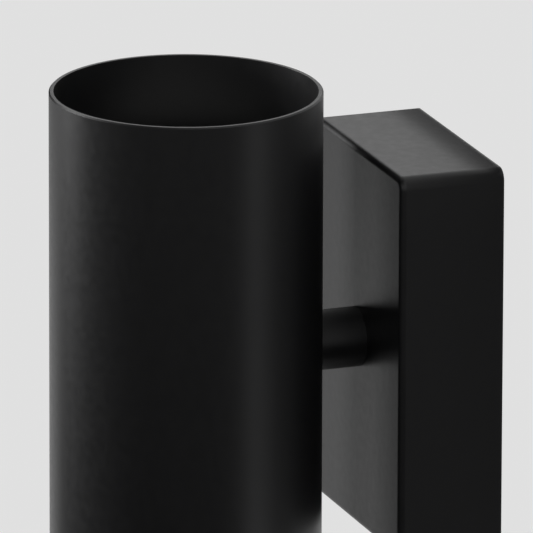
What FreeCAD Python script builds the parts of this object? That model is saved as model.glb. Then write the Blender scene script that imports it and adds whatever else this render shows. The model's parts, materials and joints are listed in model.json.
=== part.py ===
import FreeCAD, Part
import Sketcher
import math
import os

# Up-and-down wall light: a round open tube held off the wall by a short round arm on a box.
# Millimetres. The wall is the plane Y = 0, the light stands out towards -Y, +Z is up and
# the origin is where the arm's axis meets the wall, which is also the middle of the bracket.

DRIVING_SIZES = {
    # Tube
    "tube_diameter": 90,
    "tube_height": 180,
    "tube_wall": 1.6,
    "tube_rim_chamfer": 0.3,
    "tube_gap": 15,
    # Wall box
    "box_width": 82,
    "box_height": 130,
    "box_depth": 36,
    "box_wall": 1.6,
    "box_corner_radius": 4,
    "box_edge_radius": 2,
    "least_inner_radius": 0.2,
    # Arm and the hollow threaded rod that clamps tube, arm and box together
    "arm_diameter": 20,
    "rod_diameter": 10,
    "rod_bore": 8,
    "rod_fit": 0.1,
    "rod_end_reach": 2,
    "rod_nut_flats": 14,
    "rod_nut_thickness": 4,
    "washer_diameter": 20,
    "washer_thickness": 1,
    "saddle_size": 20,
    "saddle_thickness": 2.2,
    "bush_wall": 0.8,
    "bush_lip": 1,
    "bush_length": 5,
    # Strip that carries both lampholders
    "strip_width": 26,
    "strip_thickness": 1.5,
    "strip_flange_half": 10,
    "strip_step_start": 10,
    "strip_step_length": 10,
    "strip_end_margin": 1,
    "strip_window_width": 10,
    "strip_window_start": 5,
    # Lampholders
    "holder_diameter": 32,
    "holder_height": 16,
    "holder_face": 3,
    "holder_chamber": 3.8,
    "chamber_play": 0.7,
    "holder_screw_spacing": 23.6,
    "holder_screw_diameter": 3,
    "holder_screw_fit": 0.1,
    "holder_recess_diameter": 6.8,
    "holder_recess_depth": 2.8,
    "holder_screw_head_diameter": 5.6,
    "holder_screw_head_height": 2.2,
    "holder_nut_flats": 5.5,
    "holder_nut_thickness": 2.4,
    "contact_thickness": 0.6,
    "contact_gap": 0.2,
    "contact_play": 0.5,
    "contact_offset": 5,
    "contact_margin_angle": 12,
    "contact_tail_angle": 60,
    "tail_width": 2,
    "tail_reach": 1,
    "tail_play": 0.1,
    "lead_entry_height": 4.5,
    "lead_entry_play": 0.2,
    # Lamps
    "lamp_diameter": 50,
    "lamp_length": 46,
    "lamp_rim_height": 9,
    "lamp_base_diameter": 20,
    "lamp_base_length": 10,
    "lamp_bell_radius": 14,
    "lamp_neck_radius": 8,
    "lens_diameter": 45,
    "lens_thickness": 2.5,
    "lens_recess": 1,
    "pin_spacing": 10,
    "pin_neck_diameter": 3,
    "pin_head_diameter": 5,
    "pin_head_length": 2.6,
    "pin_play": 0.4,
    "twist_angle": 30,
    # Wall bracket
    "bracket_width": 44,
    "bracket_thickness": 2,
    "bracket_flange": 14,
    "bracket_bend_radius": 1,
    "bracket_play": 0.25,
    "wall_slot_spacing": 60,
    "wall_slot_width": 5.2,
    "wall_slot_length": 12,
    "cable_hole_diameter": 20,
    "cover_screw_diameter": 4,
    "cover_screw_fit": 0.05,
    "cover_screw_spacing": 28,
    "cover_screw_setback": 8,
    "cover_screw_head_diameter": 8,
    "cover_screw_head_height": 2.6,
    "cover_screw_head_round": 0.9,
    "cover_screw_end_reach": 2,
    "cover_slot_play": 0.2,
    # Earth screws, on the bracket and in the box
    "earth_screw_diameter": 4,
    "earth_screw_fit": 0.05,
    "earth_head_diameter": 8,
    "earth_head_height": 2.6,
    "bracket_earth_height": 45,
    "bracket_earth_offset": 14,
    "bracket_earth_reach": 8,
    "box_earth_offset": 30,
    "box_earth_height": 0,
    "earth_boss_height": 5,
    "earth_tag_thickness": 0.8,
    "earth_tag_barrel_length": 6,
    "earth_tag_barrel_wall": 0.6,
    "earth_tag_tongue_width": 2.6,
    "earth_tag_barrel_gap": 0.5,
    # Terminal block
    "block_offset": 22,
    "block_height_on_box": -36,
    "block_width": 18,
    "block_thickness": 14,
    "block_boss_height": 4,
    "block_boss_diameter": 8,
    "pole_pitch": 10,
    "pole_bore": 4,
    "clamp_wall": 0.8,
    "clamp_length": 15,
    "clamp_fit": 0.05,
    "terminal_screw_diameter": 3,
    "terminal_screw_spacing": 8,
    "terminal_well_diameter": 4,
    "terminal_well_depth": 2,
    "block_screw_diameter": 2.5,
    "block_screw_fit": 0.05,
    "block_screw_head_diameter": 4,
    "block_screw_head_height": 1.6,
    # Leads
    "lead_diameter": 1.8,
    "lead_spread": 2.6,
    "lead_play": 0.1,
    "lead_in_clamp": 6,
    "lead_turn_reach": 11,
    "lead_bend_room": 9.5,
    "lead_holder_run": 4,
    "lead_rod_run": 6,
    "lead_block_run": 7,
    "earth_lead_run": 5,
    # Screwdriver slots: their length is a share of the head's diameter
    "driver_slot_width": 0.8,
    "driver_slot_depth": 0.9,
    "driver_slot_share": 0.72,
}

doc = FreeCAD.newDocument("tube_wall_light")


def make_sizes():
    """The spreadsheet of driving sizes: a name, its value and its alias in each row."""
    sheet = doc.addObject("Spreadsheet::Sheet", "Sizes")
    for row, (name, number) in enumerate(DRIVING_SIZES.items(), start=1):
        sheet.set(f"A{row}", name)
        sheet.set(f"B{row}", str(number))
        sheet.setAlias(f"B{row}", name)
    doc.recompute()
    return sheet


SIZES = make_sizes()


# ---- Places and lengths worked out from the driving sizes, as expressions ----

TUBE_RADIUS = "(Sizes.tube_diameter / 2)"
TUBE_INNER_RADIUS = "(Sizes.tube_diameter / 2 - Sizes.tube_wall)"
TUBE_NEAR = "(Sizes.box_depth + Sizes.tube_gap)"
TUBE_AXIS = f"({TUBE_NEAR} + {TUBE_RADIUS})"
TUBE_INSIDE = f"({TUBE_NEAR} + Sizes.tube_wall)"
BOX_INSIDE = "(Sizes.box_depth - Sizes.box_wall)"
ROD_HOLE_RADIUS = "(Sizes.rod_diameter / 2 + Sizes.rod_fit)"
SADDLE_FACE = f"({TUBE_INSIDE} + Sizes.saddle_thickness)"
STRIP_FACE = f"({SADDLE_FACE} + Sizes.strip_thickness)"
BOX_NUT_FACE = f"({BOX_INSIDE} - Sizes.washer_thickness)"
ROD_BACK_END = f"({BOX_NUT_FACE} - Sizes.rod_nut_thickness - Sizes.rod_end_reach)"
ROD_FRONT_END = f"({STRIP_FACE} + Sizes.rod_nut_thickness + Sizes.rod_end_reach)"
HOLDER_SEAT = "(Sizes.strip_thickness / 2)"
HOLDER_RADIUS = "(Sizes.holder_diameter / 2)"
LAMP_SEAT = f"({HOLDER_SEAT} + Sizes.holder_height)"
PIN_REACH = "(Sizes.holder_face + Sizes.pin_play + Sizes.pin_head_length)"
CHAMBER_FLOOR = "(Sizes.holder_height - Sizes.holder_face - Sizes.holder_chamber)"
CONTACT_TOP = f"(Sizes.holder_height - {PIN_REACH} - Sizes.contact_gap)"
BRACKET_HALF = "(Sizes.box_height / 2 - Sizes.box_wall - Sizes.bracket_play)"
BLOCK_BACK = f"({BOX_INSIDE} - Sizes.block_boss_height)"
POLE_DEPTH = f"({BLOCK_BACK} - Sizes.block_thickness / 2)"
EARTH_SEAT = f"({BOX_INSIDE} - Sizes.earth_boss_height)"
BUSH_END = f"({ROD_BACK_END} - Sizes.bush_lip)"
HOLDER_SCREW_HOLE = "(Sizes.holder_screw_diameter / 2 + Sizes.holder_screw_fit)"
EARTH_SCREW_HOLE = "(Sizes.earth_screw_diameter / 2 + Sizes.earth_screw_fit)"
TAIL_LINE = "(Sizes.contact_offset - Sizes.contact_thickness / 2)"
CHAMBER_HALF = "(Sizes.pin_head_diameter / 2 + Sizes.chamber_play)"
CHAMBER_OUTER = f"(Sizes.pin_spacing / 2 + {CHAMBER_HALF})"
CHAMBER_INNER = f"(Sizes.pin_spacing / 2 - {CHAMBER_HALF})"
CLAMP_RADIUS = "(Sizes.pole_bore / 2 + Sizes.clamp_wall)"
CLAMP_MOUTH = "(Sizes.block_height_on_box + Sizes.block_width / 2)"
BLOCK_SCREW_PLACE = ("(Sizes.block_offset - Sizes.pole_pitch / 2)", "Sizes.block_height_on_box")
TAG_CENTRE = ("Sizes.box_earth_offset", "Sizes.box_earth_height")
TAG_FACE = f"({EARTH_SEAT} - Sizes.earth_tag_thickness)"
BARREL_DEPTH = f"({EARTH_SEAT} - Sizes.lead_diameter / 2 - Sizes.earth_tag_barrel_wall)"
BARREL_TOP = "(Sizes.box_earth_height - Sizes.earth_head_diameter / 2 - Sizes.earth_tag_barrel_gap)"
BARREL_RADIUS = "(Sizes.lead_diameter / 2 + Sizes.earth_tag_barrel_wall)"

# Distances in mm under which two places count as the same, and cubic mm that a cut must remove
SAME_PLACE = 1e-4
LEAST_CUT = 1e-6
# Share of the shorter of its two runs that a lead's bend may take up
BEND_SHARE = 0.45


def value(expression):
    """The number that an expression gives with the sheet's present sizes."""
    return float(SIZES.evalExpression(str(expression)))


# ---- Small tools for bodies, sketches and features ----

def new_body(label):
    body = doc.addObject("PartDesign::Body", label)
    body.Label = label
    return body


def new_sketch(body, role, offset="0"):
    """A sketch on one of the body's own planes, moved along the plane's normal."""
    sketch = body.newObject("Sketcher::SketchObject", body.Label + "_sketch")
    planes = [plane for plane in body.Origin.OriginFeatures if plane.Role == role]
    sketch.AttachmentSupport = [(planes[0], "")]
    sketch.MapMode = "FlatFace"
    sketch.setExpression("AttachmentOffset.Base.z", str(offset))
    return sketch


def constrain(sketch, expression, kind, *places):
    number = sketch.addConstraint(Sketcher.Constraint(kind, *places, value(expression)))
    sketch.setExpression(f"Constraints[{number}]", str(expression))


def place(sketch, element, vertex, across, along):
    """Hold a vertex, or a centre, at a distance across and along from the sketch's origin."""
    constrain(sketch, across, "DistanceX", -1, 1, element, vertex)
    constrain(sketch, along, "DistanceY", -1, 1, element, vertex)


def circle(sketch, radius, across="0", along="0"):
    centre = FreeCAD.Vector(value(across), value(along), 0)
    ring = Part.Circle(centre, FreeCAD.Vector(0, 0, 1), value(radius))
    element = sketch.addGeometry(ring)
    constrain(sketch, radius, "Radius", element)
    place(sketch, element, 3, across, along)


def outline(sketch, corners):
    """A closed outline of straight edges through corners given as pairs of expressions."""
    points = [FreeCAD.Vector(value(across), value(along), 0) for across, along in corners]
    edges = [
        sketch.addGeometry(Part.LineSegment(point, points[(index + 1) % len(points)]))
        for index, point in enumerate(points)
    ]
    for index, edge in enumerate(edges):
        following = edges[(index + 1) % len(edges)]
        sketch.addConstraint(Sketcher.Constraint("Coincident", edge, 2, following, 1))
        place(sketch, edge, 1, *corners[index])


def rectangle(sketch, half_width, half_height, across="0", along="0"):
    left, right = f"{across} - {half_width}", f"{across} + {half_width}"
    low, high = f"{along} - {half_height}", f"{along} + {half_height}"
    outline(sketch, [(left, low), (right, low), (right, high), (left, high)])


def upright_slot(sketch, half_length, radius, across, along):
    """A round-ended slot that runs along the sketch's second axis."""
    x, y, r = value(across), value(along), value(radius)
    reach = value(half_length) - r
    normal = FreeCAD.Vector(0, 0, 1)
    ends = []
    for side in (1, -1):
        centre = FreeCAD.Vector(x, y + side * reach, 0)
        start, end = (0, math.pi) if side > 0 else (math.pi, 2 * math.pi)
        arc = Part.ArcOfCircle(Part.Circle(centre, normal, r), start, end)
        element = sketch.addGeometry(arc)
        centre_along = f"{along} {'+' if side > 0 else '-'} ({half_length} - {radius})"
        place(sketch, element, 3, across, centre_along)
        constrain(sketch, radius, "Radius", element)
        ends.append(element)
    top, bottom = ends
    for side, (top_vertex, bottom_vertex) in ((1, (1, 2)), (-1, (2, 1))):
        upper = FreeCAD.Vector(x + side * r, y + reach, 0)
        lower = FreeCAD.Vector(x + side * r, y - reach, 0)
        line = sketch.addGeometry(Part.LineSegment(upper, lower))
        sketch.addConstraint(Sketcher.Constraint("Tangent", line, 1, top, top_vertex))
        sketch.addConstraint(Sketcher.Constraint("Tangent", line, 2, bottom, bottom_vertex))


def pad(body, sketch, length, reverse=False, symmetric=False):
    feature = body.newObject("PartDesign::Pad", body.Label + "_pad")
    feature.Profile = sketch
    feature.Reversed = reverse
    if symmetric:
        feature.SideType = "Symmetric"
    feature.setExpression("Length", str(length))
    doc.recompute()


def through(thickness):
    """Length of a cut, half to each side of a wall's middle, that clears both its faces."""
    return f"({thickness}) * 2"


def pocket(body, sketch, length, reverse=False, symmetric=False):
    """Cut a pocket, and stop if it removes nothing."""
    before = body.Shape.Volume
    feature = body.newObject("PartDesign::Pocket", body.Label + "_pocket")
    feature.Profile = sketch
    feature.Reversed = reverse
    if symmetric:
        feature.SideType = "Symmetric"
    feature.setExpression("Length", str(length))
    doc.recompute()
    if not body.Shape.Volume < before - LEAST_CUT:
        raise RuntimeError(f"a pocket in {body.Label} cuts nothing")


def turned(body, kind, sketch):
    """A full revolution or groove of the sketch about its own vertical axis."""
    feature = body.newObject("PartDesign::" + kind, f"{body.Label}_{kind.lower()}")
    feature.Profile = sketch
    feature.ReferenceAxis = (sketch, ["V_Axis"])
    feature.Angle = 360
    doc.recompute()


def edges_where(body, wanted):
    """Names of the body's edges whose two ends and middle all satisfy a test."""
    names = []
    for number, edge in enumerate(body.Shape.Edges, start=1):
        first, last = edge.ParameterRange
        points = [edge.valueAt(first), edge.valueAt((first + last) / 2), edge.valueAt(last)]
        if all(wanted(point) for point in points):
            names.append(f"Edge{number}")
    return names


def dress(body, kind, names, amount):
    """A fillet or a chamfer on named edges of the body's last feature."""
    last = body.Tip
    feature = body.newObject("PartDesign::" + kind, f"{body.Label}_{kind.lower()}")
    feature.Base = (last, names)
    feature.setExpression("Radius" if kind == "Fillet" else "Size", str(amount))
    doc.recompute()


def near(first, second):
    return abs(first - second) < SAME_PLACE


def move(piece, across="0", forward="0", up="0"):
    """Bind a piece's place: across along X, forward off the wall along -Y, and up along Z."""
    piece.setExpression(".Placement.Base.x", str(across))
    piece.setExpression(".Placement.Base.y", f"-({forward})")
    piece.setExpression(".Placement.Base.z", str(up))


def disc_on_wall_axis(body, forward, thickness, radii, centres=(("0", "0"),)):
    """Pad round discs or rings whose axis points off the wall, from a plane forward of it."""
    sketch = new_sketch(body, "XZ_Plane", forward)
    for across, up in centres:
        for radius in radii:
            circle(sketch, radius, across, up)
    pad(body, sketch, thickness)


def driver_slots(body, plane, offset, centres, head_diameter, reverse=False):
    """Screwdriver slots cut into flat screw heads."""
    sketch = new_sketch(body, plane, offset)
    half_length = f"({head_diameter} * Sizes.driver_slot_share / 2)"
    for across, along in centres:
        rectangle(sketch, half_length, "Sizes.driver_slot_width / 2", across, along)
    pocket(body, sketch, "Sizes.driver_slot_depth", reverse)


def hexagon(sketch, flats, across="0", along="0"):
    """A regular hexagon with a pair of flats upright."""
    corners = []
    for number in range(6):
        angle = 60 * number + 30
        corner_across = f"{across} + {flats} / sqrt(3) * cos({angle} deg)"
        corner_along = f"{along} + {flats} / sqrt(3) * sin({angle} deg)"
        corners.append((corner_across, corner_along))
    outline(sketch, corners)


# ---- The tube ----

def make_tube():
    """Extruded tube, open at both ends, with one hole at the back for the threaded rod."""
    body = new_body("tube")
    section = new_sketch(body, "XY_Plane", "-Sizes.tube_height / 2")
    circle(section, TUBE_RADIUS, "0", f"-{TUBE_AXIS}")
    circle(section, TUBE_INNER_RADIUS, "0", f"-{TUBE_AXIS}")
    pad(body, section, "Sizes.tube_height")
    half_height = value("Sizes.tube_height / 2")
    rims = edges_where(body, lambda point: near(abs(point.z), half_height))
    dress(body, "Chamfer", rims, "Sizes.tube_rim_chamfer")
    hole = new_sketch(body, "XZ_Plane", "Sizes.box_depth")
    circle(hole, ROD_HOLE_RADIUS)
    pocket(body, hole, f"{TUBE_AXIS} - Sizes.box_depth", reverse=True)


# ---- The arm and what clamps it ----

def make_arm():
    """Round spacer with a flat foot on the box and an end coped to the tube's curve."""
    body = new_body("arm")
    foot = new_sketch(body, "XZ_Plane", "Sizes.box_depth")
    circle(foot, "Sizes.arm_diameter / 2")
    circle(foot, ROD_HOLE_RADIUS)
    pad(body, foot, f"{TUBE_AXIS} - Sizes.box_depth")
    cope = new_sketch(body, "XY_Plane")
    circle(cope, TUBE_RADIUS, "0", f"-{TUBE_AXIS}")
    pocket(body, cope, through("Sizes.arm_diameter"), symmetric=True)


def make_threaded_rod():
    """Hollow threaded rod from inside the box to inside the tube; the leads run through it."""
    body = new_body("threaded_rod")
    radii = ("Sizes.rod_diameter / 2", "Sizes.rod_bore / 2")
    disc_on_wall_axis(body, ROD_BACK_END, f"{ROD_FRONT_END} - {ROD_BACK_END}", radii)


def make_nut(label, forward):
    body = new_body(label)
    sketch = new_sketch(body, "XZ_Plane", forward)
    hexagon(sketch, "Sizes.rod_nut_flats")
    circle(sketch, "Sizes.rod_diameter / 2 + Sizes.rod_fit / 2")
    pad(body, sketch, "Sizes.rod_nut_thickness")


def make_box_washer():
    body = new_body("box_washer")
    radii = ("Sizes.washer_diameter / 2", ROD_HOLE_RADIUS)
    disc_on_wall_axis(body, BOX_NUT_FACE, "Sizes.washer_thickness", radii)


def make_saddle_washer():
    """Square washer, curved on the side that beds on the tube's inner wall."""
    body = new_body("saddle_washer")
    blank = new_sketch(body, "XZ_Plane", TUBE_NEAR)
    rectangle(blank, "Sizes.saddle_size / 2", "Sizes.saddle_size / 2")
    circle(blank, ROD_HOLE_RADIUS)
    pad(body, blank, f"{SADDLE_FACE} - {TUBE_NEAR}")
    curve = new_sketch(body, "XY_Plane")
    circle(curve, "Sizes.tube_diameter", "0", f"-{TUBE_AXIS}")
    circle(curve, TUBE_INNER_RADIUS, "0", f"-{TUBE_AXIS}")
    pocket(body, curve, through("Sizes.saddle_size"), symmetric=True)


def make_rod_bushes():
    """Plastic bushes pushed into both ends of the rod, so that its edge can't cut the leads."""
    body = new_body("rod_bushes")
    inner = "Sizes.rod_bore / 2 - Sizes.bush_wall"
    sleeve_length = "Sizes.bush_length - Sizes.bush_lip"
    lip = ("Sizes.rod_diameter / 2", inner)
    sleeve = ("Sizes.rod_bore / 2", inner)
    disc_on_wall_axis(body, f"{ROD_BACK_END} - Sizes.bush_lip", "Sizes.bush_lip", lip)
    disc_on_wall_axis(body, ROD_BACK_END, sleeve_length, sleeve)
    disc_on_wall_axis(body, ROD_FRONT_END, "Sizes.bush_lip", lip)
    disc_on_wall_axis(body, f"{ROD_FRONT_END} - ({sleeve_length})", sleeve_length, sleeve)


# ---- The wall box ----

def box_outline(body, shrink, offset="0"):
    sketch = new_sketch(body, "XZ_Plane", offset)
    half_width = f"(Sizes.box_width / 2 - {shrink})"
    half_height = f"(Sizes.box_height / 2 - {shrink})"
    rectangle(sketch, half_width, half_height)
    return sketch


def corner_edges(body, half_width, half_height, back, front):
    """The four straight corners that run off the wall between two depths."""
    def is_corner(point):
        at_side = near(abs(point.x), half_width) and near(abs(point.z), half_height)
        return at_side and -front - SAME_PLACE < point.y < -back + SAME_PLACE
    return edges_where(body, is_corner)


def make_wall_box():
    """Box cover, open at the wall, with rounded corners, two bosses and two open slots."""
    body = new_body("wall_box")
    pad(body, box_outline(body, "0"), "Sizes.box_depth")
    half_width, half_height = value("Sizes.box_width / 2"), value("Sizes.box_height / 2")
    depth, inside = value("Sizes.box_depth"), value(BOX_INSIDE)
    corners = corner_edges(body, half_width, half_height, 0, depth)
    dress(body, "Fillet", corners, "Sizes.box_corner_radius")
    front = edges_where(body, lambda point: near(point.y, -depth))
    dress(body, "Fillet", front, "Sizes.box_edge_radius")
    pocket(body, box_outline(body, "Sizes.box_wall"), BOX_INSIDE, reverse=True)
    wall = value("Sizes.box_wall")
    inner = corner_edges(body, half_width - wall, half_height - wall, 0, inside)
    dress(body, "Fillet", inner, "max(Sizes.box_corner_radius - Sizes.box_wall; Sizes.least_inner_radius)")
    rod_hole = new_sketch(body, "XZ_Plane", BOX_INSIDE)
    circle(rod_hole, ROD_HOLE_RADIUS)
    pocket(body, rod_hole, "Sizes.box_wall", reverse=True)
    make_box_bosses(body)
    for side in ("-", "+"):
        cut_cover_slot(body, f"{side}Sizes.cover_screw_spacing / 2")


def make_box_bosses(body):
    """Bosses on the inside of the front: one for the earth screw, one for the terminal block."""
    earth = new_sketch(body, "XZ_Plane", BOX_INSIDE)
    circle(earth, "Sizes.earth_head_diameter / 2", *TAG_CENTRE)
    circle(earth, EARTH_SCREW_HOLE, *TAG_CENTRE)
    pad(body, earth, "Sizes.earth_boss_height", reverse=True)
    block = new_sketch(body, "XZ_Plane", BOX_INSIDE)
    circle(block, "Sizes.block_boss_diameter / 2", *BLOCK_SCREW_PLACE)
    circle(block, "Sizes.block_screw_diameter / 2 + Sizes.block_screw_fit", *BLOCK_SCREW_PLACE)
    pad(body, block, "Sizes.block_boss_height", reverse=True)


def cut_cover_slot(body, across):
    """Slot in the underside, open towards the wall, that slides over a cover screw."""
    half_slot = "(Sizes.cover_screw_diameter / 2 + Sizes.cover_slot_play)"
    level = "-(Sizes.box_height / 2 - Sizes.box_wall / 2)"
    channel = new_sketch(body, "XY_Plane", level)
    left, right = f"{across} - {half_slot}", f"{across} + {half_slot}"
    end, behind_wall = "-Sizes.cover_screw_setback", half_slot
    outline(channel, [(left, end), (right, end), (right, behind_wall), (left, behind_wall)])
    pocket(body, channel, through("Sizes.box_wall"), symmetric=True)
    round_end = new_sketch(body, "XY_Plane", level)
    circle(round_end, half_slot, across, end)
    pocket(body, round_end, through("Sizes.box_wall"), symmetric=True)


# ---- The wall bracket and its screws ----

def make_wall_bracket():
    """Steel strap against the wall, both ends bent forward into the box."""
    body = new_body("wall_bracket")
    side = new_sketch(body, "YZ_Plane")
    thick, reach, half = "Sizes.bracket_thickness", "-Sizes.bracket_flange", BRACKET_HALF
    inner = f"({half} - {thick})"
    corners = [
        ("0", f"-{half}"), ("0", half), (reach, half), (reach, inner),
        (f"-{thick}", inner), (f"-{thick}", f"-{inner}"), (reach, f"-{inner}"), (reach, f"-{half}"),
    ]
    outline(side, corners)
    pad(body, side, "Sizes.bracket_width", symmetric=True)
    bend_bracket(body)
    holes = new_sketch(body, "XZ_Plane")
    slot = ("Sizes.wall_slot_length / 2", "Sizes.wall_slot_width / 2", "0")
    upright_slot(holes, *slot, "Sizes.wall_slot_spacing / 2")
    upright_slot(holes, *slot, "-Sizes.wall_slot_spacing / 2")
    circle(holes, "Sizes.cable_hole_diameter / 2")
    circle(holes, EARTH_SCREW_HOLE, "Sizes.bracket_earth_offset", "Sizes.bracket_earth_height")
    pocket(body, holes, "Sizes.bracket_thickness", reverse=True)
    tapped = new_sketch(body, "XY_Plane", f"-({BRACKET_HALF} - {thick} / 2)")
    for sign in ("-", "+"):
        across = f"{sign}Sizes.cover_screw_spacing / 2"
        radius = "Sizes.cover_screw_diameter / 2 + Sizes.cover_screw_fit"
        circle(tapped, radius, across, "-Sizes.cover_screw_setback")
    pocket(body, tapped, through(thick), symmetric=True)


def bend_bracket(body):
    """Round the two bends, inside and outside, as pressed steel has them."""
    half, thick = value(BRACKET_HALF), value("Sizes.bracket_thickness")
    inside = edges_where(
        body, lambda point: near(point.y, -thick) and near(abs(point.z), half - thick)
    )
    dress(body, "Fillet", inside, "Sizes.bracket_bend_radius")
    outside = edges_where(body, lambda point: near(point.y, 0) and near(abs(point.z), half))
    dress(body, "Fillet", outside, "Sizes.bracket_bend_radius + Sizes.bracket_thickness")


def make_cover_screws():
    """Two screws up through the box's underside into the bracket's lower flange."""
    body = new_body("cover_screws")
    places = [
        (f"{sign}Sizes.cover_screw_spacing / 2", "-Sizes.cover_screw_setback") for sign in "-+"
    ]
    shank = new_sketch(body, "XY_Plane", "-Sizes.box_height / 2")
    heads = new_sketch(body, "XY_Plane", "-Sizes.box_height / 2")
    for across, along in places:
        circle(shank, "Sizes.cover_screw_diameter / 2", across, along)
        circle(heads, "Sizes.cover_screw_head_diameter / 2", across, along)
    grip = "Sizes.box_wall + Sizes.bracket_play + Sizes.bracket_thickness"
    pad(body, shank, f"{grip} + Sizes.cover_screw_end_reach")
    pad(body, heads, "Sizes.cover_screw_head_height", reverse=True)
    below = "-Sizes.box_height / 2 - Sizes.cover_screw_head_height"
    low = value(below)
    round_edges = edges_where(body, lambda point: near(point.z, low))
    dress(body, "Fillet", round_edges, "Sizes.cover_screw_head_round")
    head = "Sizes.cover_screw_head_diameter"
    driver_slots(body, "XY_Plane", below, places, head, reverse=True)


def make_bracket_earth_screw():
    """Earth screw in the bracket, for the supply's earth wire."""
    body = new_body("bracket_earth_screw")
    places = [("Sizes.bracket_earth_offset", "Sizes.bracket_earth_height")]
    shank = ["Sizes.earth_screw_diameter / 2"]
    head = ["Sizes.earth_head_diameter / 2"]
    reach = "Sizes.bracket_earth_reach"
    disc_on_wall_axis(body, "0", reach, shank, places)
    disc_on_wall_axis(body, reach, "Sizes.earth_head_height", head, places)
    top = f"{reach} + Sizes.earth_head_height"
    driver_slots(body, "XZ_Plane", top, places, "Sizes.earth_head_diameter")


# ---- The strip and the lampholders ----

def make_lampholder_strip():
    """Steel strip: an upright flange under the rod's nut, a step, and a level plate in mid-tube."""
    body = new_body("lampholder_strip")
    side = new_sketch(body, "YZ_Plane")
    thick = "Sizes.strip_thickness"
    back, face = f"-{SADDLE_FACE}", f"-{STRIP_FACE}"
    top = "Sizes.strip_flange_half"
    low = f"-(Sizes.strip_flange_half + {thick})"
    foot = "-Sizes.strip_flange_half"
    step = f"-({STRIP_FACE} + Sizes.strip_step_start)"
    level = f"-({STRIP_FACE} + Sizes.strip_step_start + Sizes.strip_step_length)"
    tip = f"-({TUBE_AXIS} + {HOLDER_RADIUS} + Sizes.strip_end_margin)"
    corners = [
        (back, top), (back, low), (step, low), (level, f"-{thick} / 2"), (tip, f"-{thick} / 2"),
        (tip, f"{thick} / 2"), (level, f"{thick} / 2"), (step, foot), (face, foot), (face, top),
    ]
    outline(side, corners)
    pad(body, side, "Sizes.strip_width", symmetric=True)
    rod_hole = new_sketch(body, "XZ_Plane", SADDLE_FACE)
    circle(rod_hole, ROD_HOLE_RADIUS)
    pocket(body, rod_hole, thick, reverse=True)
    window = new_sketch(body, "XY_Plane")
    half = "Sizes.strip_window_width / 2"
    near_end = f"-({STRIP_FACE} + Sizes.strip_window_start)"
    far_end = f"-({TUBE_AXIS} - {HOLDER_RADIUS} - Sizes.strip_end_margin)"
    left, right = f"-{half}", half
    outline(window, [(left, far_end), (right, far_end), (right, near_end), (left, near_end)])
    pocket(body, window, through("Sizes.strip_flange_half * 2"), symmetric=True)
    screw_holes = new_sketch(body, "XY_Plane")
    for along in holder_screw_lines():
        circle(screw_holes, HOLDER_SCREW_HOLE, "0", along)
    pocket(body, screw_holes, through(thick), symmetric=True)


def holder_screw_lines(centre=f"-{TUBE_AXIS}"):
    return [f"{centre} {sign} Sizes.holder_screw_spacing / 2" for sign in "-+"]


def seat_in_tube(piece, height, upper):
    """Put a piece made about its own axis onto the tube's axis, upright or upside down."""
    if not upper:
        piece.Placement.Rotation = FreeCAD.Rotation(FreeCAD.Vector(0, 1, 0), 180)
    move(piece, "0", TUBE_AXIS, height if upper else f"-{height}")


def make_lampholder(label, upper):
    """Ceramic holder: two keyhole slots over a chamber, two screw holes and two lead holes."""
    body = new_body(label)
    blank = new_sketch(body, "XY_Plane")
    circle(blank, HOLDER_RADIUS)
    for along in holder_screw_lines("0"):
        circle(blank, HOLDER_SCREW_HOLE, "0", along)
    pad(body, blank, "Sizes.holder_height")
    recess = new_sketch(body, "XY_Plane", "Sizes.holder_height")
    for along in holder_screw_lines("0"):
        circle(recess, "Sizes.holder_recess_diameter / 2", "0", along)
    pocket(body, recess, "Sizes.holder_recess_depth")
    cut_chamber(body)
    cut_keyholes(body)
    leads = new_sketch(body, "XZ_Plane", f"-{HOLDER_RADIUS}")
    for sign in "-+":
        lead_hole = "Sizes.lead_diameter / 2 + Sizes.lead_entry_play"
        circle(leads, lead_hole, f"{sign}Sizes.contact_offset", "Sizes.lead_entry_height")
    pocket(body, leads, f"{HOLDER_RADIUS} - Sizes.contact_offset", reverse=True)
    tails = new_sketch(body, "XY_Plane", CHAMBER_FLOOR)
    half_width = "(Sizes.tail_width / 2 + Sizes.tail_play)"
    half_thickness = "(Sizes.contact_thickness / 2 + Sizes.tail_play)"
    for sign in "-+":
        rectangle(tails, half_width, half_thickness, f"{sign}Sizes.contact_offset", TAIL_LINE)
    tail_end = "(Sizes.lead_entry_height - Sizes.tail_reach - Sizes.tail_play)"
    pocket(body, tails, f"{CHAMBER_FLOOR} - {tail_end}")
    seat_in_tube(body, HOLDER_SEAT, upper)


def cut_chamber(body):
    """Ring-shaped chamber under the slotted face, in which the pins' heads turn."""
    before = body.Shape.Volume
    section = new_sketch(body, "XZ_Plane")
    roof = "(Sizes.holder_height - Sizes.holder_face)"
    outline(section, [
        (CHAMBER_INNER, CHAMBER_FLOOR), (CHAMBER_OUTER, CHAMBER_FLOOR),
        (CHAMBER_OUTER, roof), (CHAMBER_INNER, roof),
    ])
    turned(body, "Groove", section)
    if not body.Shape.Volume < before - LEAST_CUT:
        raise RuntimeError(f"the chamber in {body.Label} cuts nothing")


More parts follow.
